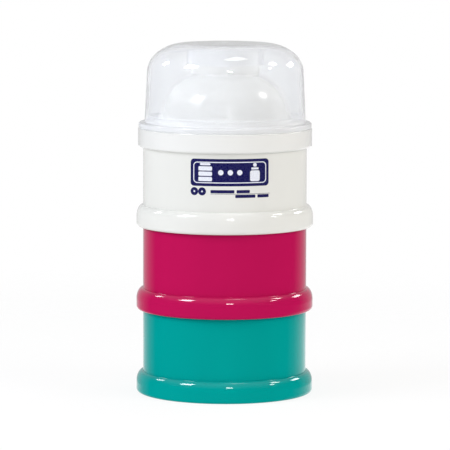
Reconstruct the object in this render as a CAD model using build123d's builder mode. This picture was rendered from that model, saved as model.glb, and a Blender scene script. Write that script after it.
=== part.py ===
from build123d import *
import os

# Stacking formula dispenser, in millimetres, +Z up.  The origin is the centre of the
# bottom cup's foot circle.  Three like cups screw on top of one another, a funnel lid
# screws on the top cup, and a dome cap pushes over the funnel lid.  Every "height" of a
# cup is counted from the foot of its own skirt.

os.makedirs("parts", exist_ok=True)

# ---- cups --------------------------------------------------------------------------
wall_r = 37.0            # outside of the straight wall
wall_t = 2.2             # wall thickness
tier_pitch = 37.8        # from one cup's foot to the next one's
floor_t = 1.6            # floor thickness
floor_round = 3.0        # round between the floor and the inside of the wall

# ---- skirt below each floor, with the bead round it ----------------------------------
bead_proud = 3.0         # how far the bead stands out from the wall
bead_h = 9.85            # height at which the bead runs into the wall
bead_crown_h = 5.1       # height of the bead's domed upper part
foot_round = 1.6         # round on the skirt's lower outside edge

# ---- screw neck ----------------------------------------------------------------------
neck_h = 4.6             # neck above the wall's shoulder
neck_step = 1.1          # how far the neck stands in from the wall
neck_edge = 0.3          # chamfers and rounds on the neck and shoulder
skirt_gap = 0.4          # bore of a skirt outside the wall's radius
thread_lead = 6.0        # rise in one turn
thread_starts = 2
thread_depth = 1.0       # root to crest
thread_root_w = 1.3      # ridge width at its root
thread_crest_w = 0.6     # ridge width at its crest
thread_end_gap = 0.4     # ridge clear of the shoulder and of the neck's rim
thread_bury = 0.3        # ridge runs this far into the wall that carries it

# ---- seal rings ----------------------------------------------------------------------
seal_t = 1.0             # seal thickness
seal_side_gap = 0.3      # seal clear of the rib inside it
seal_bore_gap = 0.4      # seal clear of the skirt's bore
rib_t = 1.1              # rib that centres the seal, below a floor or the funnel's plate
rib_drop = 2.2           # how far the rib hangs down
rib_neck_gap = 0.7       # rib clear of the neck that it dips into

# ---- funnel lid ----------------------------------------------------------------------
collar_proud = 2.3       # collar's outside beyond the wall
collar_lap = 1.7         # collar reaches this far below the shoulder
collar_foot_round = 1.1  # round on the collar's lower edge
collar_top_round = 0.4   # round on the collar's upper edge
plate_t = 1.2            # plate between the collar and the cone
funnel_t = 1.5           # wall of the cone and spout
cone_lean = 4.0          # the lower cone draws in by this
cone_straight_h = 11.3   # height of the straight lower cone
cone_h = 24.6            # plate to where the cone meets the spout
cone_root = 1.0          # round where the spout leaves the cone
spout_r = 15.9           # outside of the spout
spout_h = 12.0           # spout above the cone
guide_t = 1.4            # ring on the plate that the dome pushes over
guide_h = 2.4
guide_cone_gap = 0.8     # ring clear of the cone's foot
rim_round = 0.4          # rounds on the rims of the spout and guide ring

# ---- dome cap ------------------------------------------------------------------------
dome_inset = 0.5         # dome's outside at its rim, inside the cup wall's radius
dome_t = 1.4             # dome wall
dome_draft = 1.2         # the wall draws in by this up to the corner
dome_corner_r = 17.1     # corner's reach inwards
dome_corner_h = 13.0     # corner's height
dome_crown = 0.2         # rise of the top's middle
lip_inset = 0.2          # lip's outside, inside the collar's radius
lip_h = 2.6
lip_round = 0.8
lip_root = 0.6           # round where the wall rises from the lip
guide_gap = 0.3          # dome's rim clear of the guide ring
spout_gap = 0.9          # closing ring clear of the spout
spout_top_gap = 0.4      # ceiling clear of the spout's rim
ring_t = 0.8             # closing ring under the ceiling, thin so as not to sink the top
ring_foot_gap = 4.2      # closing ring stops this far above the cone
ring_round = 0.25        # rounds on the closing ring's rim

# ---- worked out ----------------------------------------------------------------------
cup_in_r = wall_r - wall_t
bead_r = wall_r + bead_proud
neck_r = wall_r - neck_step
skirt_in_r = wall_r + skirt_gap
ceiling_h = neck_h + seal_t            # underside of a floor, above the skirt's foot
floor_top = ceiling_h + floor_t
neck_top = tier_pitch + neck_h
rib_out_r = cup_in_r - rib_neck_gap
rib_in_r = rib_out_r - rib_t
seal_in_r = rib_out_r + seal_side_gap
seal_out_r = skirt_in_r - seal_bore_gap

thread_low = thread_end_gap + thread_root_w / 2       # first ridge centre above the shoulder
thread_run = neck_h - 2 * thread_low                  # rise of the ridge's centre line

lid_seat = 3 * tier_pitch                             # top cup's shoulder
collar_r = wall_r + collar_proud
plate_low = lid_seat + neck_h + seal_t
plate_top = plate_low + plate_t

dome_r = wall_r - dome_inset
guide_out_r = dome_r - dome_t - guide_gap
guide_in_r = guide_out_r - guide_t
cone_r = guide_in_r - guide_cone_gap
spout_top = plate_top + cone_h + spout_h
ceiling = spout_top + spout_top_gap
dome_top = ceiling + dome_t


def thread_ridge(root_r, crest_r):
    """One helical ridge at the shoulder's height, its wide root buried at root_r."""
    with BuildPart() as ridge:
        with BuildLine() as path:
            Helix(pitch=thread_lead, height=thread_run, radius=root_r, center=(0, 0, thread_low))
        start = Plane(origin=path.line @ 0, x_dir=(1, 0, 0), z_dir=path.line % 0)
        out = 1 if crest_r > root_r else -1
        with BuildSketch(start):
            with BuildLine():
                Polyline(
                    (-out * thread_bury, thread_root_w / 2),
                    (0, thread_root_w / 2),
                    (crest_r - root_r, thread_crest_w / 2),
                    (crest_r - root_r, -thread_crest_w / 2),
                    (0, -thread_root_w / 2),
                    (-out * thread_bury, -thread_root_w / 2),
                    close=True,
                )
            make_face()
        sweep(path=path.line, is_frenet=True)
    return ridge.part


male_ridge = thread_ridge(neck_r, neck_r + thread_depth)
female_ridge = thread_ridge(skirt_in_r, skirt_in_r - thread_depth)
half_spacing = 180 / thread_starts     # turns a female ridge midway between two male ones


def make_cup(label, foot):
    """One cup with its foot at the given height."""
    bead_low = foot + bead_h - bead_crown_h
    floor_low = foot + ceiling_h
    floor_high = foot + floor_top
    shoulder = foot + tier_pitch
    rim = foot + neck_top
    with BuildPart() as cup:
        with BuildSketch(Plane.XZ):
            with BuildLine():
                Polyline(
                    (0, floor_high),
                    (0, floor_low),
                    (rib_in_r, floor_low),
                    (rib_in_r, floor_low - rib_drop),
                    (rib_out_r, floor_low - rib_drop),
                    (rib_out_r, floor_low),
                    (skirt_in_r, floor_low),
                    (skirt_in_r, foot),
                    (bead_r - foot_round, foot),
                )
                CenterArc((bead_r - foot_round, foot + foot_round), foot_round, -90, 90)
                Line((bead_r, foot + foot_round), (bead_r, bead_low))
                EllipticalCenterArc((wall_r, bead_low), bead_proud, bead_crown_h, arc_size=90)
                Polyline(
                    (wall_r, foot + bead_h),
                    (wall_r, shoulder - neck_edge),
                    (wall_r - neck_edge, shoulder),
                    (neck_r, shoulder),
                    (neck_r, rim - neck_edge),
                    (neck_r - neck_edge, rim),
                    (cup_in_r, rim),
                    (cup_in_r, floor_high + floor_round),
                )
                CenterArc((cup_in_r - floor_round, floor_high + floor_round), floor_round, -90, 90)
                Line((cup_in_r - floor_round, floor_high), (0, floor_high))
            make_face()
        revolve(axis=Axis.Z)
        with Locations((0, 0, shoulder)), PolarLocations(0, thread_starts):
            add(male_ridge)
        with Locations((0, 0, foot)), PolarLocations(0, thread_starts, -half_spacing):
            add(female_ridge)
    cup.part.label = label
    export_step(cup.part, f"parts/{label}.step")


def make_seal(label, low):
    """A flat silicone ring with its underside at the given height."""
    with BuildPart() as seal:
        with BuildSketch(Plane.XY.offset(low)):
            Circle(seal_out_r)
            Circle(seal_in_r, mode=Mode.SUBTRACT)
        extrude(amount=seal_t)
    seal.part.label = label
    export_step(seal.part, f"parts/{label}.step")


for tier, label in enumerate(["bottom_cup", "middle_cup", "top_cup"]):
    make_cup(label, tier * tier_pitch)
for tier, label in enumerate(["lower_seal", "upper_seal", "funnel_seal"]):
    make_seal(label, tier * tier_pitch + neck_top)

# ---- funnel lid: collar, plate, ribs, cone and spout ----------------------------------
collar_foot = lid_seat - collar_lap
cone_top = plate_top + cone_h
with BuildPart() as funnel_lid:
    with BuildSketch(Plane.XZ) as half:
        with BuildLine():
            Polyline(
                (cone_r - funnel_t / 2, plate_top),
                (cone_r - funnel_t / 2, plate_low),
                (rib_in_r, plate_low),
                (rib_in_r, plate_low - rib_drop),
                (rib_out_r, plate_low - rib_drop),
                (rib_out_r, plate_low),
                (skirt_in_r, plate_low),
                (skirt_in_r, collar_foot),
                (collar_r - collar_foot_round, collar_foot),
            )
            CenterArc(
                (collar_r - collar_foot_round, collar_foot + collar_foot_round),
                collar_foot_round, -90, 90,
            )
            Line((collar_r, collar_foot + collar_foot_round), (collar_r, plate_top - collar_top_round))
            CenterArc(
                (collar_r - collar_top_round, plate_top - collar_top_round), collar_top_round, 0, 90
            )
            Polyline(
                (collar_r - collar_top_round, plate_top),
                (guide_out_r, plate_top),
                (guide_out_r, plate_top + guide_h),
                (guide_in_r, plate_top + guide_h),
                (guide_in_r, plate_top),
                (cone_r - funnel_t / 2, plate_top),
            )
        make_face()
        with BuildLine() as outside:
            lower_cone = Line(
                (cone_r, plate_low - funnel_t), (cone_r - cone_lean, plate_top + cone_straight_h)
            )
            upper_cone = TangentArc(lower_cone @ 1, (spout_r, cone_top), tangent=lower_cone % 1)
            Line(upper_cone @ 1, (spout_r, spout_top))
            fillet(outside.vertices().sort_by_distance((spout_r, cone_top))[0], cone_root)
            offset(amount=funnel_t, side=Side.LEFT)
        make_face()
        with Locations((0, plate_low)):
            Rectangle(2 * rib_in_r, 2 * funnel_t, align=(Align.CENTER, Align.MAX), mode=Mode.SUBTRACT)
        rims = half.vertices().filter_by_position(Axis.Y, plate_top + guide_h, plate_top + guide_h)
        fillet(rims + half.vertices().filter_by_position(Axis.Y, spout_top, spout_top), rim_round)
    revolve(axis=Axis.Z)
    with Locations((0, 0, lid_seat)), PolarLocations(0, thread_starts, -half_spacing):
        add(female_ridge)
funnel_lid.part.label = "funnel_lid"
export_step(funnel_lid.part, "parts/funnel_lid.step")

# ---- dome cap -------------------------------------------------------------------------
lip_r = collar_r - lip_inset
lip_top = plate_top + lip_h
corner_low = dome_top - dome_crown - dome_corner_h
corner_in_r = dome_r - dome_draft - dome_corner_r      # the corner's centre
ring_foot = cone_top + ring_foot_gap


def dome_half(inset):
    """Half outline of the dome's outside, or of its inside when inset by the wall."""
    Line((0, plate_top), (dome_r - inset, plate_top))
    Line((dome_r - inset, plate_top), (dome_r - dome_draft - inset, corner_low))
    EllipticalCenterArc(
        (corner_in_r, corner_low), dome_corner_r - inset, dome_corner_h - inset, arc_size=90
    )
    Line((corner_in_r, corner_low + dome_corner_h - inset), (0, dome_top - inset))
    Line((0, dome_top - inset), (0, plate_top))


with BuildPart() as dome_cap:
    with BuildSketch(Plane.XZ) as half:
        with BuildLine():
            dome_half(0)
        make_face()
        with BuildLine():
            Polyline(
                (dome_r - dome_t, plate_top),
                (lip_r, plate_top),
                (lip_r, lip_top),
                (dome_r - dome_t, lip_top),
                close=True,
            )
        make_face()
        fillet(half.vertices().filter_by_position(Axis.X, lip_r, lip_r), lip_round)
        fillet(half.vertices().sort_by_distance((dome_r, lip_top))[0], lip_root)
        with BuildLine():
            dome_half(dome_t)
        make_face(mode=Mode.SUBTRACT)
    with BuildSketch(Plane.XZ) as closing_ring:
        with BuildLine():
            dome_half(dome_t / 2)
        make_face()
        with Locations((spout_r + spout_gap, ring_foot)):
            Rectangle(ring_t, dome_top, align=(Align.MIN, Align.MIN), mode=Mode.INTERSECT)
        fillet(closing_ring.vertices().filter_by_position(Axis.Y, ring_foot, ring_foot), ring_round)
    revolve(axis=Axis.Z)
dome_cap.part.label = "dome_cap"
export_step(dome_cap.part, "parts/dome_cap.step")
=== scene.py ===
"""Looks for a stacking formula dispenser: three screw-together cups, a funnel lid and a clear dome cap.

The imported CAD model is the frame.  Its nodes keep their shapes and get their plastics here, the
front print is laid on the top cup's wall, and a white studio is put round the object.
"""

import math

import bmesh
import bpy
import numpy as np
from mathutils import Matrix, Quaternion, Vector


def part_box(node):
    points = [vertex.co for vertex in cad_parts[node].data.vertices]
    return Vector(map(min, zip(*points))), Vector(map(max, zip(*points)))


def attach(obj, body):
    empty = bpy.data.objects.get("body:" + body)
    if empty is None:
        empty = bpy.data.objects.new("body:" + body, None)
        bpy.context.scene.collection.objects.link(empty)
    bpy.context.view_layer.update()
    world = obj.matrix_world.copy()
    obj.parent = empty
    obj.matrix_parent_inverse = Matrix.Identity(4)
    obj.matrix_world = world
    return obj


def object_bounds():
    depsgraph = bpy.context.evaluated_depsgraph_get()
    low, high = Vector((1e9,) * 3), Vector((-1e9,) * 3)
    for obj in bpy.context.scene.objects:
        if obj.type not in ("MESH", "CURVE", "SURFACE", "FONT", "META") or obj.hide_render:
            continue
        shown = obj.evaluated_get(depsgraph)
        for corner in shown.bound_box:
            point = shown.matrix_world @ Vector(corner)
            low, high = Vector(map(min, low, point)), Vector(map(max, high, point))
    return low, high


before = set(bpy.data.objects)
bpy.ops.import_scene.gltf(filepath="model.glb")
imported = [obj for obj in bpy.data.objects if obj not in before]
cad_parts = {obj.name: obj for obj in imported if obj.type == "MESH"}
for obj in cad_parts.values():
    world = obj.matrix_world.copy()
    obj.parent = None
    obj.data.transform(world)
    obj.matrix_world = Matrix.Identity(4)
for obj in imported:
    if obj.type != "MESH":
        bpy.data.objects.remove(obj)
CAD_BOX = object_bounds()

bl_info = {
    "name": "Formula Dispenser",
    "version": (1, 0, 0),
    "blender": (4, 5, 0),
    "location": "View3D > Sidebar > Dispenser",
    "description": "Plastics, front print and studio for a stacking formula dispenser",
    "category": "Object",
}

MM = 0.001

POLYPROPYLENE_IOR = 1.49
SILICONE_IOR = 1.41
INK_IOR = 1.5
CONE_CLARITY = 0.62              # share of light that the cone passes and doesn't scatter
LIP_CLARITY = 0.3                # the same for the dome cap's lip
DOME_CLARITY = 0.85              # and for its wall
CONE_PASSES = 0.62               # share of a lamp's light that goes straight through the lid
DOME_PASSES = 0.9                # the same for the dome cap
WAVE_DEPTH = 0.008 * MM          # of the waves that cooling leaves in a wall
DOME_WAVE_DEPTH = 0.01 * MM      # the same in the dome cap, which has the thinnest wall
POLISH_SPOT = 1.2 * MM           # size of the spots that hand polishing leaves in a tool
RUBBER_GRAIN = 0.5 * MM          # size of the eroded face of the seals' mould
RUBBER_DEPTH = 0.01 * MM
MESH_PITCH = 0.4 * MM            # screen mesh, drawn larger than life so that it shows
MESH_DEPTH = 0.004 * MM
NOISE = {"From Min": 0.3, "From Max": 0.7}   # nearly all of a noise lies between these two

INK_STEP = 0.7 * MM              # longest side of a face of ink
INK_FOOT = -0.02 * MM            # a slab of ink starts this far inside the wall
CORNER_POINTS = 9                # on a quarter circle
FEWEST_ACROSS = 9                # points across the smallest mark
DOUBLED = 0.001 * MM             # points this close are one point
NO_LENGTH = 0.0005 * MM          # edges this short are dropped


# ---- colours and the frame ----------------------------------------------------------------


def linear(hex_colour):
    """An sRGB hex colour as linear red, green and blue, by the sRGB standard's curve, and an alpha
    of 1."""
    srgb = np.array([int(hex_colour[i:i + 2], 16) / 255 for i in (1, 3, 5)])
    toe = srgb / 12.92
    curve = ((srgb + 0.055) / 1.055) ** 2.4
    return (*np.where(srgb <= 0.04045, toe, curve).tolist(), 1.0)


def widest(node, low):
    """The largest distance from the stack's axis of a node's points above the height low."""
    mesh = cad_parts[node].data
    points = np.empty(3 * len(mesh.vertices), np.float32)
    mesh.vertices.foreach_get("co", points)
    x, y, z = points.reshape(-1, 3).T
    return float(np.hypot(x, y)[z > low].max())


CUP_FOOT, CUP_RIM = (corner.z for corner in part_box("top_cup"))
WALL_R = widest("top_cup", (CUP_FOOT + CUP_RIM) / 2)      # outside of the top cup's wall
PLATE_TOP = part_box("dome_cap")[0].z                       # the dome stands on the lid's plate
STACK_TOP = CAD_BOX[1].z


# ---- settings a user would change -----------------------------------------------------------


def colour_setting(name, description, hex_colour):
    """A colour property with an sRGB hex default."""
    return bpy.props.FloatVectorProperty(
        name=name, description=description, subtype="COLOR", size=4, min=0, max=1,
        default=linear(hex_colour),
    )


def length_setting(name, description, default):
    """A length property, in metres."""
    return bpy.props.FloatProperty(
        name=name, description=description, default=default, min=0, unit="LENGTH", precision=5,
    )


def angle_setting(name, description, degrees):
    """An angle property with its default given in degrees."""
    return bpy.props.FloatProperty(
        name=name, description=description, default=math.radians(degrees), unit="ROTATION",
    )


def factor_setting(name, description, default, top=1.0):
    """A plain number from nothing to top."""
    return bpy.props.FloatProperty(
        name=name, description=description, default=default, min=0, max=top,
    )


class PlasticSettings(bpy.types.PropertyGroup):
    """Colours and finish of the moulded pieces."""

    teal: colour_setting("Teal", "Bottom cup", "#009C97")
    magenta: colour_setting("Magenta", "Middle cup", "#BE1455")
    white: colour_setting("White", "Top cup", "#ECECE8")
    natural: colour_setting("Natural", "Funnel lid, milky", "#F7F7F5")
    clear: colour_setting("Clear", "Dome cap", "#F5F6F8")
    silicone: colour_setting("Silicone", "Seal rings", "#DDE1E3")
    gloss: factor_setting("Roughness", "Polish left by the mould, lower is glossier", 0.06)
    lip: length_setting("Lip", "Height of the dome cap's thick lip", 2.6 * MM)
    ripple: length_setting("Ripple", "Size of the soft waves that cooling leaves in a wall", 9 * MM)


class PrintSettings(bpy.types.PropertyGroup):
    """The screen print on the front of the top cup; heights are above the cup's foot."""

    navy: colour_setting("Navy ink", "Panel and small marks", "#1C1B5A")
    pale: colour_setting("Pale ink", "Keyline and pictograms on the panel", "#EEF1FB")
    left: angle_setting("Left edge", "Panel's left edge, round the wall from the front", -24.2)
    right: angle_setting("Right edge", "Panel's right edge, round the wall from the front", 31.5)
    low: length_setting("Lower edge", "Height of the panel's lower edge", 21.6 * MM)
    high: length_setting("Upper edge", "Height of the panel's upper edge", 33.7 * MM)
    corner: length_setting("Corner", "Radius of the panel's corners", 1.6 * MM)
    keyline_inset: length_setting("Keyline inset", "From the panel's edge to the keyline", 1.5 * MM)
    keyline_width: length_setting("Keyline width", "Width of the keyline", 0.42 * MM)
    ink: length_setting("Ink", "Thickness of one layer of ink", 0.03 * MM)


class StageSettings(bpy.types.PropertyGroup):
    """Studio: floor, lamps and camera."""

    floor_radius: length_setting("Floor", "Radius of the floor, faded out at its edge", 0.5)
    floor: colour_setting("Floor colour", "Opal acrylic", "#707070")
    floor_glow: factor_setting("Floor glow", "Light that comes up through the floor", 0.85)
    key: factor_setting("Lamps", "Strength of all lamps together", 1.0, 10.0)
    distance: length_setting("Camera distance", "From the stack's axis", 1.58)
    height: length_setting("Camera height", "Above the floor", 0.252)
    aim_height: length_setting("Aim height", "Height that the camera looks at", 0.0759)
    aim_right: length_setting("Aim right", "Distance to the right that the camera looks at", 0.1 * MM)
    field: length_setting("Field", "Width that the camera sees at the stack's axis", 0.204)
    roll: angle_setting("Roll", "Turn of the camera about its line of sight", 0.2)


# ---- small helpers ---------------------------------------------------------------------------


def add(tree, kind, inputs=None, **settings):
    """Adds a node with its settings; an input's value is a number, a colour or a socket to link."""
    node = tree.nodes.new(kind)
    for name, value in settings.items():
        setattr(node, name, value)
    for name, value in (inputs or {}).items():
        if isinstance(value, bpy.types.NodeSocket):
            tree.links.new(value, node.inputs[name])
        else:
            node.inputs[name].default_value = value
    return node


def new_material(name):
    """An empty node material and its tree."""
    material = bpy.data.materials.new(name)
    material.use_nodes = True
    material.node_tree.nodes.clear()
    return material, material.node_tree


def finish_material(tree, shader):
    """Links a shader socket to the material's output."""
    add(tree, "ShaderNodeOutputMaterial", {"Surface": shader})


def cooling_waves(tree, size, depth):
    """A normal for soft waves, size metres across and depth metres deep and longer up the wall,
    that are left where a moulded wall shrinks as it cools."""
    place = add(tree, "ShaderNodeTexCoord").outputs["Object"]
    drawn = add(tree, "ShaderNodeMapping", {"Vector": place, "Scale": (1, 1, 0.6)})
    waves = add(tree, "ShaderNodeTexNoise", {"Vector": drawn.outputs["Vector"], "Scale": 1 / size})
    return add(tree, "ShaderNodeBump", {
        "Height": waves.outputs["Fac"], "Distance": depth, "Strength": 1.0,
    }).outputs["Normal"]


def flow_streaks(tree, colour, size, depth):
    """Colour that lightens and darkens by depth in streaks, as the melt leaves it in running up."""
    place = add(tree, "ShaderNodeTexCoord").outputs["Object"]
    drawn = add(tree, "ShaderNodeMapping", {"Vector": place, "Scale": (1, 1, 0.35)})
    streaks = add(tree, "ShaderNodeTexNoise", {
        "Vector": drawn.outputs["Vector"], "Scale": 1 / size, "Detail": 4.0})
    value = add(tree, "ShaderNodeMapRange", {
        "Value": streaks.outputs["Fac"], **NOISE, "To Min": 1 - depth, "To Max": 1 + depth})
    return add(tree, "ShaderNodeHueSaturation", {
        "Color": colour, "Value": value.outputs["Result"],
    }).outputs["Color"]


def tool_polish(tree, low, high):
    """Roughness that wanders from low to high over a millimetre or so, as the tool was polished."""
    place = add(tree, "ShaderNodeTexCoord").outputs["Object"]
    spots = add(tree, "ShaderNodeTexNoise", {"Vector": place, "Scale": 1 / POLISH_SPOT})
    return add(tree, "ShaderNodeMapRange", {
        "Value": spots.outputs["Fac"], **NOISE, "To Min": low, "To Max": high,
    }).outputs["Result"]


def up_the_wall(tree, low, high, first, last):
    """A value that is first below the height low, last above the height high and even between."""
    place = add(tree, "ShaderNodeTexCoord").outputs["Object"]
    parts = add(tree, "ShaderNodeSeparateXYZ", {"Vector": place})
    return add(tree, "ShaderNodeMapRange", {
        "Value": parts.outputs["Z"], "From Min": low, "From Max": high,
        "To Min": first, "To Max": last,
    }).outputs["Result"]


def lamps_through(tree, shader, share):
    """Lets that share of a lamp's light pass a see-through wall straight."""
    shadow = add(tree, "ShaderNodeLightPath").outputs["Is Shadow Ray"]
    passed = add(tree, "ShaderNodeMath", {0: shadow, 1: share}, operation="MULTIPLY")
    clear = add(tree, "ShaderNodeBsdfTransparent")
    return add(tree, "ShaderNodeMixShader", {
        0: passed.outputs["Value"], 1: shader, 2: clear.outputs["BSDF"],
    }).outputs["Shader"]


def dress(node, material):
    """Gives a CAD node its finish."""
    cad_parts[node].material_slots[0].material = material


# ---- finishes --------------------------------------------------------------------------------


def coloured_polypropylene(name, colour, gloss, ripple):
    """Pigmented polypropylene."""
    # Injection moulded in a polished tool.  It gives the eye an even, deep colour under a clear
    # gloss, with highlights that waver where the wall shrank a little as it cooled.
    material, tree = new_material(name)
    shader = add(tree, "ShaderNodeBsdfPrincipled", {
        "Base Color": flow_streaks(tree, colour, size=2.5 * ripple, depth=0.02),
        "Roughness": tool_polish(tree, low=gloss - 0.01, high=gloss + 0.02),
        "IOR": POLYPROPYLENE_IOR,
        "Normal": cooling_waves(tree, size=ripple, depth=WAVE_DEPTH),
    })
    finish_material(tree, shader.outputs["BSDF"])
    return material


def natural_polypropylene(name, colour, gloss, ripple, milky):
    """Polypropylene with no pigment, dense below the height milky and see-through above it."""
    # Injection moulded.  Its crystals scatter light inside the wall, so it looks like milk glass:
    # white where the wall is thick, a little cooler and see-through where it is thin.
    material, tree = new_material(name)
    thin = up_the_wall(tree, milky - 1 * MM, milky + 6 * MM, first=0.0, last=CONE_CLARITY)
    body = add(tree, "ShaderNodeBsdfPrincipled", {
        "Base Color": flow_streaks(tree, colour, size=3 * ripple, depth=0.012),
        "Roughness": tool_polish(tree, low=gloss + 0.02, high=gloss + 0.08),
        "IOR": POLYPROPYLENE_IOR,
        "Transmission Weight": thin,
        "Normal": cooling_waves(tree, size=ripple, depth=WAVE_DEPTH),
        "Coat Weight": 1.0,
        "Coat Roughness": 0.05,
    })
    finish_material(tree, lamps_through(tree, body.outputs["BSDF"], CONE_PASSES))
    return material


def clarified_polypropylene(name, colour, gloss, ripple, thick):
    """Clarified polypropylene, nearly clear above the height thick and milky in the lip below it."""
    # Injection moulded in a polished tool.  Clarifier leaves some haze, so what is inside shows as
    # through a mist, the lip goes white and the corners carry bright lamp marks.
    material, tree = new_material(name)
    thin = up_the_wall(tree, thick - 1 * MM, thick + 4 * MM, first=LIP_CLARITY, last=DOME_CLARITY)
    wall = add(tree, "ShaderNodeBsdfPrincipled", {
        "Base Color": flow_streaks(tree, colour, size=3 * ripple, depth=0.01),
        "Roughness": tool_polish(tree, low=gloss - 0.02, high=gloss + 0.02),
        "IOR": POLYPROPYLENE_IOR,
        "Transmission Weight": thin,
        "Normal": cooling_waves(tree, size=1.4 * ripple, depth=DOME_WAVE_DEPTH),
    })
    finish_material(tree, lamps_through(tree, wall.outputs["BSDF"], DOME_PASSES))
    return material


def silicone_rubber(name, colour):
    """Translucent silicone rubber."""
    # Pressed in a mould with a fine eroded face.  It looks soft and matt, with light in its edges.
    material, tree = new_material(name)
    place = add(tree, "ShaderNodeTexCoord").outputs["Object"]
    grain = add(tree, "ShaderNodeTexNoise", {
        "Vector": place, "Scale": 1 / RUBBER_GRAIN, "Detail": 3.0}).outputs["Fac"]
    rough = add(tree, "ShaderNodeMapRange", {"Value": grain, **NOISE, "To Min": 0.42, "To Max": 0.55})
    raised = add(tree, "ShaderNodeBump", {"Height": grain, "Distance": RUBBER_DEPTH, "Strength": 1.0})
    shader = add(tree, "ShaderNodeBsdfPrincipled", {
        "Base Color": flow_streaks(tree, colour, size=4 * MM, depth=0.02),
        "Roughness": rough.outputs["Result"],
        "IOR": SILICONE_IOR,
        "Normal": raised.outputs["Normal"],
    })
    finish_material(tree, shader.outputs["BSDF"])
    return material


def screen_ink(name, colour):
    """Two-part screen ink on polypropylene."""
    # Printed through a mesh and cured.  It lies flat and dense, a touch duller than the plastic,
    # with the mesh's pitch left in it.  A real mesh is about 0.12 mm and is drawn coarser.
    material, tree = new_material(name)
    place = add(tree, "ShaderNodeTexCoord").outputs["Object"]
    marks = add(tree, "ShaderNodeTexNoise", {
        "Vector": place, "Scale": 1 / MESH_PITCH, "Detail": 1.0}).outputs["Fac"]
    value = add(tree, "ShaderNodeMapRange", {"Value": marks, **NOISE, "To Min": 0.95, "To Max": 1.05})
    shade = add(tree, "ShaderNodeHueSaturation", {"Color": colour, "Value": value.outputs["Result"]})
    rough = add(tree, "ShaderNodeMapRange", {"Value": marks, **NOISE, "To Min": 0.24, "To Max": 0.34})
    raised = add(tree, "ShaderNodeBump", {"Height": marks, "Distance": MESH_DEPTH, "Strength": 1.0})
    shader = add(tree, "ShaderNodeBsdfPrincipled", {
        "Base Color": shade.outputs["Color"],
        "Roughness": rough.outputs["Result"],
        "IOR": INK_IOR,
        "Normal": raised.outputs["Normal"],
    })
    finish_material(tree, shader.outputs["BSDF"])
    return material


# ---- print surfaces --------------------------------------------------------------------------


def on_wall(across, up, lift):
    """Points on the top cup's wall: across is the distance round the wall from the front, up the
    height above the cup's foot and lift the distance off the wall.  The angle round the axis is
    across over the wall's radius."""
    angle = across / WALL_R
    radius = WALL_R + lift
    return np.stack([radius * np.sin(angle), -radius * np.cos(angle), CUP_FOOT + up], axis=-1)


def grid_faces(rows, columns, start=0, flip=False):
    """Quads of a grid of points held row by row."""
    index = start + np.arange(rows * columns).reshape(rows, columns)
    quads = np.stack([index[:-1, :-1], index[:-1, 1:], index[1:, 1:], index[1:, :-1]], axis=-1)
    quads = quads.reshape(-1, 4)
    return quads[:, ::-1] if flip else quads


def patch(across, up, width, height, corner, lift):
    """A closed slab of ink with rounded corners, centred at across and up.

    At an angle t in a corner the edge is at corner * (1 - cos t) from the patch's end and the half
    width is width / 2 - corner * (1 - sin t).  Between the corners the half width is width / 2.
    Each row of points runs evenly from minus to plus the half width."""
    turn = np.linspace(0, math.pi / 2, CORNER_POINTS)
    straight = max(2, round((height - 2 * corner) / INK_STEP))
    middle = np.linspace(corner, height - corner, straight)[1:-1]
    ends = corner * (1 - np.cos(turn))
    rows = np.concatenate([ends, middle, height - ends[::-1]])
    half = width / 2 - corner * (1 - np.sin(turn))
    halves = np.concatenate([half, np.full(len(middle), width / 2), half[::-1]])
    share = np.linspace(-1, 1, max(FEWEST_ACROSS, round(width / INK_STEP)))
    u = across + halves[:, None] * share[None, :]
    v = np.broadcast_to((up - height / 2 + rows)[:, None], u.shape)
    top = on_wall(u, v, lift)
    foot = on_wall(u, v, INK_FOOT)
    n, m = u.shape
    below = np.arange(m)
    right = m - 1 + m * np.arange(1, n)
    above = n * m - 2 - np.arange(m - 1)
    left = m * np.arange(n - 2, 0, -1)
    rim = np.concatenate([below, right, above, left])
    after = np.roll(rim, -1)
    sides = np.stack([rim, rim + n * m, after + n * m, after], axis=-1)
    faces = np.concatenate([grid_faces(n, m), grid_faces(n, m, n * m, flip=True), sides])
    return np.concatenate([top.reshape(-1, 3), foot.reshape(-1, 3)]), faces


def loop(width, height, corner):
    """A rounded rectangle's outline about its centre, as distances across and up.  Each corner is a
    quarter circle, and each side between corners is cut evenly.  A corner turned by 90 degrees is
    the next one: (x, y) becomes (-y, x)."""
    turn = np.linspace(0, math.pi / 2, CORNER_POINTS)
    arc = corner * np.stack([np.cos(turn), np.sin(turn)], axis=-1)
    a = width / 2 - corner
    b = height / 2 - corner
    wide = round(2 * a / INK_STEP) + 1
    tall = round(2 * b / INK_STEP) + 1
    quarter = np.array([[0, 1], [-1, 0]])
    right = np.stack([np.full(tall, width / 2), np.linspace(-b, b, tall)], axis=-1)[:-1]
    above = np.stack([np.linspace(a, -a, wide), np.full(wide, height / 2)], axis=-1)[1:-1]
    left = -right
    below = -above
    corners = []
    for n, centre in enumerate([(a, b), (-a, b), (-a, -b), (a, -b)]):
        corners.append(arc @ np.linalg.matrix_power(quarter, n) + centre)
    sides = (right, above, left, below)
    return np.concatenate([part for pair in zip(sides, corners) for part in pair])


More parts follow.
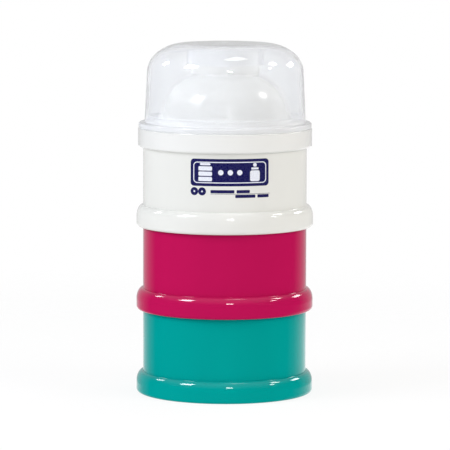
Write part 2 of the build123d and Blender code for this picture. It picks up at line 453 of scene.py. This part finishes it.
def band(across, up, width, height, corner, line, lift):
    """A closed slab of ink along a rounded rectangle: a flat profile line wide carried along the
    outline.  Both edges are the same outline made larger and smaller by half the line."""
    outer = loop(width + line, height + line, corner + line / 2)
    inner = loop(width - line, height - line, corner - line / 2)
    rings = [
        on_wall(across + edge[:, 0], up + edge[:, 1], off)
        for edge, off in ((outer, lift), (inner, lift), (inner, 0.0), (outer, 0.0))
    ]
    count = len(outer)
    here = np.arange(count)
    after = np.roll(here, -1)
    faces = []
    for n in range(len(rings)):
        low = n * count
        high = (n + 1) % len(rings) * count
        faces.append(np.stack([low + here, low + after, high + after, high + here], axis=-1))
    return np.concatenate(rings), np.concatenate(faces)


def ink_piece(name, shapes, material):
    """Joins slabs of ink into one piece that moves with the top cup."""
    points = []
    faces = []
    start = 0
    for corners, quads in shapes:
        points.append(corners)
        faces.append(quads + start)
        start += len(corners)
    mesh = bpy.data.meshes.new(name)
    mesh.from_pydata(np.concatenate(points), [], np.concatenate(faces).tolist())
    mesh.materials.append(material)
    close_up(mesh)
    piece = bpy.data.objects.new(name, mesh)
    bpy.context.scene.collection.objects.link(piece)
    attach(piece, "top_tier")


def close_up(mesh):
    """Merges doubled points, drops faces with no area and turns all faces outwards."""
    shape = bmesh.new()
    shape.from_mesh(mesh)
    bmesh.ops.remove_doubles(shape, verts=shape.verts, dist=DOUBLED)
    bmesh.ops.dissolve_degenerate(shape, edges=shape.edges, dist=NO_LENGTH)
    bmesh.ops.recalc_face_normals(shape, faces=shape.faces)
    shape.to_mesh(mesh)
    shape.free()
    mesh.update()


# ---- operators -------------------------------------------------------------------------------


class DISPENSER_OT_cups(bpy.types.Operator):
    """Give the three cups their coloured plastics"""

    bl_idname = "dispenser.cups"
    bl_label = "Cups"

    def execute(self, context):
        plastic = context.scene.dispenser_plastic
        for node, name, colour in (
            ("bottom_cup", "polypropylene_teal", plastic.teal),
            ("middle_cup", "polypropylene_magenta", plastic.magenta),
            ("top_cup", "polypropylene_white", plastic.white),
        ):
            dress(node, coloured_polypropylene(name, colour, plastic.gloss, plastic.ripple))
        return {"FINISHED"}


class DISPENSER_OT_seals(bpy.types.Operator):
    """Give the three seal rings their silicone"""

    bl_idname = "dispenser.seals"
    bl_label = "Seals"

    def execute(self, context):
        rubber = silicone_rubber("silicone_translucent", context.scene.dispenser_plastic.silicone)
        for node in ("lower_seal", "upper_seal", "funnel_seal"):
            dress(node, rubber)
        return {"FINISHED"}


class DISPENSER_OT_funnel_lid(bpy.types.Operator):
    """Give the funnel lid its milky plastic"""

    bl_idname = "dispenser.funnel_lid"
    bl_label = "Funnel lid"

    def execute(self, context):
        plastic = context.scene.dispenser_plastic
        milky = natural_polypropylene(
            "polypropylene_natural", plastic.natural, plastic.gloss, plastic.ripple, PLATE_TOP)
        dress("funnel_lid", milky)
        return {"FINISHED"}


class DISPENSER_OT_dome_cap(bpy.types.Operator):
    """Give the dome cap its clear plastic"""

    bl_idname = "dispenser.dome_cap"
    bl_label = "Dome cap"

    def execute(self, context):
        plastic = context.scene.dispenser_plastic
        clear = clarified_polypropylene(
            "polypropylene_clarified", plastic.clear, plastic.gloss, plastic.ripple,
            PLATE_TOP + plastic.lip)
        dress("dome_cap", clear)
        return {"FINISHED"}


class DISPENSER_OT_front_print(bpy.types.Operator):
    """Lay the screen print on the top cup's front"""

    bl_idname = "dispenser.front_print"
    bl_label = "Front print"

    # Marks in mm: distance across and up, width, height, radius of the corners.
    # These are measured from the panel's centre: three stacked cups with their cap, three dots for
    # the feeds in them, and a feeding bottle.
    PICTOGRAMS = (
        (-11.2, -2.9, 6.2, 1.9, 0.5),
        (-11.2, -0.55, 6.2, 1.9, 0.5),
        (-11.2, 1.8, 6.2, 1.9, 0.5),
        (-11.2, 3.7, 4.8, 1.0, 0.5),
        (-4.2, 0, 2.4, 2.4, 1.2),
        (0, 0, 2.4, 2.4, 1.2),
        (4.2, 0, 2.4, 2.4, 1.2),
        (11.2, -1.5, 4.6, 4.8, 0.9),
        (11.2, 1.75, 3.4, 0.9, 0.2),
        (11.2, 3.35, 1.7, 1.6, 0.7),
    )
    # These are measured from the front and the cup's foot: two discs, short bars in two lines and
    # the thin rule between them, and then the pale dots in the discs.
    SMALL_MARKS = (
        (-13.85, 19.2, 3.6, 3.6, 1.8),
        (-10.25, 19.2, 3.6, 3.6, 1.8),
        (-1.1, 19.2, 10.6, 1.4, 0.3),
        (8.2, 19.2, 6.0, 1.4, 0.3),
        (9.2, 17.1, 9.2, 1.4, 0.3),
        (17.6, 17.1, 5.6, 1.4, 0.3),
        (7.3, 18.15, 27.4, 0.16, 0.08),
    )
    MARK_CENTRES = (
        (-13.85, 19.2, 0.8, 0.8, 0.4),
        (-10.25, 19.2, 0.8, 0.8, 0.4),
    )

    def execute(self, context):
        s = context.scene.dispenser_print
        navy = screen_ink("screen_ink_navy", s.navy)
        pale = screen_ink("screen_ink_pale", s.pale)
        width = (s.right - s.left) * WALL_R
        height = s.high - s.low
        centre = (s.right + s.left) / 2 * WALL_R
        middle = (s.high + s.low) / 2
        over = 2 * s.ink
        ink_piece("print_panel", [patch(centre, middle, width, height, s.corner, s.ink)], navy)
        inset = 2 * s.keyline_inset
        keyline = band(centre, middle, width - inset, height - inset, s.corner, s.keyline_width, over)
        ink_piece("print_keyline", [keyline], pale)
        ink_piece("print_pictograms", self.marks(self.PICTOGRAMS, centre, middle, over), pale)
        ink_piece("print_small_marks", self.marks(self.SMALL_MARKS, 0, 0, s.ink), navy)
        ink_piece("print_mark_centres", self.marks(self.MARK_CENTRES, 0, 0, over), pale)
        return {"FINISHED"}

    def marks(self, rows, centre, middle, lift):
        """A table of marks as slabs of ink, measured from the point centre across and middle up."""
        slabs = []
        for across, up, width, height, corner in rows:
            slabs.append(patch(
                centre + across * MM, middle + up * MM, width * MM, height * MM, corner * MM, lift))
        return slabs


class DISPENSER_OT_stage(bpy.types.Operator):
    """Set up the floor, the white surround, the lamps and the camera"""

    bl_idname = "dispenser.stage"
    bl_label = "Stage"

    # Lamps: name, angle round the axis from the front and height from the middle of the stack in
    # degrees, width and height in metres, brightness beside white, colour.  Bare lamps leave their
    # marks on the gloss and light nothing.
    BARE_LAMPS = (
        ("lamp_key", -61, 42, 0.23, 0.24, 24, "#F4F8FF"),
        ("lamp_front", 7, 26, 0.12, 0.13, 22, "#FFFFFF"),
        ("lamp_side", 74, 31, 0.10, 0.10, 18, "#FFFFFF"),
        ("lamp_right", 94, 43, 0.15, 0.16, 18, "#FFFAF2"),
        ("lamp_back_right", 123, 25, 0.26, 0.14, 12, "#FFFFFF"),
        ("lamp_left", -114, 33, 0.12, 0.18, 14, "#FFFFFF"),
        ("lamp_top", 60, 80, 0.27, 0.20, 4.5, "#FFFFFF"),
    )
    SEEN_THROUGH = ("lamp_key", "lamp_right")  # these also mark what is under the dome
    # Bounced lamps light the colours and leave no marks.
    BOUNCED_LAMPS = (
        ("lamp_bounced_left", -64, 28, 0.50, 0.42, 7.0, "#F4F8FF"),
        ("lamp_bounced_front", 7, 26, 0.30, 0.30, 1.4, "#FFFFFF"),
        ("lamp_bounced_right", 62, 24, 0.55, 0.42, 4.0, "#FFFAF2"),
        ("lamp_bounced_back", 130, 25, 0.30, 0.30, 3.0, "#FFFFFF"),
    )
    LAMP_DISTANCE = 0.9

    # The surround's brightness beside white, by direction: x is to the right, y to the back, z up.
    # The table is a bright band below the horizon, behind and to the right.
    OVERHEAD = {"From Min": 0.3, "From Max": 0.9, "To Max": 0.5}      # along z
    BACKDROP = {"From Min": 0.42, "From Max": 1.0, "To Max": 0.62}    # along y
    TABLE = {"From Min": 0.45, "From Max": 1.05, "To Max": 0.5}       # along y + TABLE_TURN * x
    TABLE_TURN = 0.3
    TABLE_EDGE = {"From Min": -0.128, "From Max": -0.142, "To Min": 0.03, "To Max": 1.0}  # along z
    LEAST_ON_COLOURS = 0.5    # the least brightness for light that isn't a reflection

    # The floor fades out between these shares of its radius.
    FADE_START = 0.3
    FADE_END = 0.95
    FLOOR_RINGS = 24
    FLOOR_SPOKES = 96

    def execute(self, context):
        s = context.scene.dispenser_stage
        self.floor(context, s)
        self.surround(context)
        self.lamps(context, s)
        self.camera(context, s)
        context.scene.view_settings.view_transform = "Standard"
        return {"FINISHED"}

    def floor(self, context, s):
        """A flat disc: rings of points at even angles and radii."""
        radius, angle = np.meshgrid(
            np.linspace(0, s.floor_radius, self.FLOOR_RINGS),
            np.linspace(0, math.tau, self.FLOOR_SPOKES + 1), indexing="ij")
        points = np.stack([radius * np.cos(angle), radius * np.sin(angle), 0 * radius], axis=-1)
        faces = grid_faces(self.FLOOR_RINGS, self.FLOOR_SPOKES + 1, flip=True)
        mesh = bpy.data.meshes.new("floor")
        mesh.from_pydata(points.reshape(-1, 3), [], faces.tolist())
        close_up(mesh)
        # Cast opal acrylic, lit a little from below.  It gives the eye an even white that takes
        # hardly any shadow, thins out to nothing at its edge and is clear from underneath.
        material, tree = new_material("acrylic_opal")
        place = add(tree, "ShaderNodeTexCoord").outputs["Object"]
        out = add(tree, "ShaderNodeVectorMath", {0: place}, operation="LENGTH").outputs["Value"]
        fade = add(tree, "ShaderNodeMapRange", {
            "Value": out,
            "From Min": self.FADE_START * s.floor_radius,
            "From Max": self.FADE_END * s.floor_radius,
        }, interpolation_type="SMOOTHSTEP")
        sheet = add(tree, "ShaderNodeBsdfPrincipled", {
            "Base Color": s.floor, "Roughness": 0.9, "Specular IOR Level": 0.0,
            "Emission Color": (1, 1, 1, 1), "Emission Strength": s.floor_glow,
        })
        under = add(tree, "ShaderNodeNewGeometry").outputs["Backfacing"]
        away = add(tree, "ShaderNodeMath", {0: fade.outputs["Result"], 1: under}, operation="MAXIMUM")
        gone = add(tree, "ShaderNodeBsdfTransparent")
        finish_material(tree, add(tree, "ShaderNodeMixShader", {
            0: away.outputs["Value"], 1: sheet.outputs["BSDF"], 2: gone.outputs["BSDF"],
        }).outputs["Shader"])
        mesh.materials.append(material)
        floor = bpy.data.objects.new("floor", mesh)
        context.scene.collection.objects.link(floor)
        floor.visible_glossy = False

    def surround(self, context):
        """White to the camera; to the object, dim from the front at eye level and bright elsewhere."""
        world = bpy.data.worlds.new("surround")
        world.use_nodes = True
        tree = world.node_tree
        tree.nodes.clear()
        place = add(tree, "ShaderNodeTexCoord").outputs["Generated"]
        parts = add(tree, "ShaderNodeSeparateXYZ", {"Vector": place})
        above = add(
            tree, "ShaderNodeMapRange", {"Value": parts.outputs["Z"], **self.OVERHEAD},
            interpolation_type="SMOOTHSTEP")
        behind = add(tree, "ShaderNodeMapRange", {"Value": parts.outputs["Y"], **self.BACKDROP})
        most = add(tree, "ShaderNodeMath", {
            0: above.outputs["Result"], 1: behind.outputs["Result"]}, operation="MAXIMUM")
        right = add(tree, "ShaderNodeMath", {
            0: parts.outputs["X"], 1: self.TABLE_TURN, 2: parts.outputs["Y"]}, operation="MULTIPLY_ADD")
        table = add(tree, "ShaderNodeMapRange", {"Value": right.outputs["Value"], **self.TABLE})
        low = add(tree, "ShaderNodeMapRange", {"Value": parts.outputs["Z"], **self.TABLE_EDGE})
        light = add(tree, "ShaderNodeMath", {
            0: table.outputs["Result"], 1: low.outputs["Result"], 2: most.outputs["Value"]},
            operation="MULTIPLY_ADD")
        path = add(tree, "ShaderNodeLightPath")
        soft = add(tree, "ShaderNodeMath", {
            0: path.outputs["Is Diffuse Ray"], 1: self.LEAST_ON_COLOURS}, operation="MULTIPLY")
        least = add(tree, "ShaderNodeMath", {
            0: light.outputs["Value"], 1: soft.outputs["Value"]}, operation="MAXIMUM")
        seen = add(tree, "ShaderNodeMath", {
            0: path.outputs["Is Camera Ray"], 1: path.outputs["Is Transmission Ray"]},
            operation="MAXIMUM")
        # sockets 0, 2 and 3 are the share and the two plain numbers that it mixes
        strength = add(tree, "ShaderNodeMix", {
            0: seen.outputs["Value"], 2: least.outputs["Value"], 3: 1.0})
        white = add(tree, "ShaderNodeBackground", {
            "Color": (1, 1, 1, 1), "Strength": strength.outputs[0]})
        add(tree, "ShaderNodeOutputWorld", {"Surface": white.outputs["Background"]})
        context.scene.world = world

    def lamps(self, context, s):
        """Lamps aimed at the middle of the stack: bare ones for the marks that they leave on the
        gloss, and bounced ones, too soft to leave a mark, for the light on the colours."""
        middle = Vector((0, 0, STACK_TOP / 2))
        for row in self.BARE_LAMPS:
            self.lamp(context, s.key, middle, *row)
        for row in self.BOUNCED_LAMPS:
            lamp = self.lamp(context, s.key, middle, *row)
            lamp.visible_glossy = False
            lamp.visible_diffuse = True

    def lamp(self, context, key, middle, name, around, above, width, height, brightness, colour):
        """A rectangular lamp at an angle round the axis and a height above the middle of the stack.

        Its way from the middle is (sin a cos e, -cos a cos e, sin e).  A flat lamp of brightness 1
        looks as bright as white and gives pi times its area in watts."""
        a = math.radians(around)
        e = math.radians(above)
        way = Vector((math.sin(a) * math.cos(e), -math.cos(a) * math.cos(e), math.sin(e)))
        light = bpy.data.lights.new(name, "AREA")
        light.shape = "RECTANGLE"
        light.size = width
        light.size_y = height
        light.color = linear(colour)[:3]
        light.energy = key * brightness * math.pi * width * height
        lamp = bpy.data.objects.new(name, light)
        lamp.location = middle + way * self.LAMP_DISTANCE
        lamp.rotation_euler = (-way).to_track_quat("-Z", "Y").to_euler()
        lamp.visible_camera = False
        lamp.visible_transmission = name in self.SEEN_THROUGH
        lamp.visible_diffuse = False
        context.scene.collection.objects.link(lamp)
        return lamp

    def camera(self, context, s):
        """A long lens a little above the stack, looking along +Y."""
        data = bpy.data.cameras.new("camera")
        camera = bpy.data.objects.new("camera", data)
        camera.location = (s.aim_right, -s.distance, s.height)
        way = Vector((s.aim_right, 0, s.aim_height)) - camera.location
        level = way.to_track_quat("-Z", "Y")
        camera.rotation_euler = (level @ Quaternion((0, 0, 1), s.roll)).to_euler()
        data.lens = data.sensor_width * way.length / s.field  # the field fills the picture's width
        data.clip_start = 0.1
        data.clip_end = 50
        context.scene.collection.objects.link(camera)
        context.scene.camera = camera


class DISPENSER_PT_panel(bpy.types.Panel):
    """Lists the steps and their settings"""

    bl_idname = "DISPENSER_PT_panel"
    bl_label = "Formula Dispenser"
    bl_space_type = "VIEW_3D"
    bl_region_type = "UI"
    bl_category = "Dispenser"

    def draw(self, context):
        for operator in OPERATORS:
            self.layout.operator(operator.bl_idname)
        for settings in (
            context.scene.dispenser_plastic, context.scene.dispenser_print,
            context.scene.dispenser_stage,
        ):
            box = self.layout.box()
            for name in settings.__annotations__:
                box.prop(settings, name)


OPERATORS = (
    DISPENSER_OT_cups,
    DISPENSER_OT_seals,
    DISPENSER_OT_funnel_lid,
    DISPENSER_OT_dome_cap,
    DISPENSER_OT_front_print,
    DISPENSER_OT_stage,
)
SETTINGS = {
    "dispenser_plastic": PlasticSettings,
    "dispenser_print": PrintSettings,
    "dispenser_stage": StageSettings,
}


def register():
    """Registers the settings, the operators and the panel."""
    for name, settings in SETTINGS.items():
        bpy.utils.register_class(settings)
        setattr(bpy.types.Scene, name, bpy.props.PointerProperty(type=settings))
    for operator in OPERATORS:
        bpy.utils.register_class(operator)
    bpy.utils.register_class(DISPENSER_PT_panel)


def unregister():
    """Takes away what register added."""
    bpy.utils.unregister_class(DISPENSER_PT_panel)
    for operator in reversed(OPERATORS):
        bpy.utils.unregister_class(operator)
    for name, settings in SETTINGS.items():
        delattr(bpy.types.Scene, name)
        bpy.utils.unregister_class(settings)


def main():
    """Runs every step."""
    register()
    bpy.ops.dispenser.cups()
    bpy.ops.dispenser.seals()
    bpy.ops.dispenser.funnel_lid()
    bpy.ops.dispenser.dome_cap()
    bpy.ops.dispenser.front_print()
    bpy.ops.dispenser.stage()


if __name__ == "__main__":
    main()
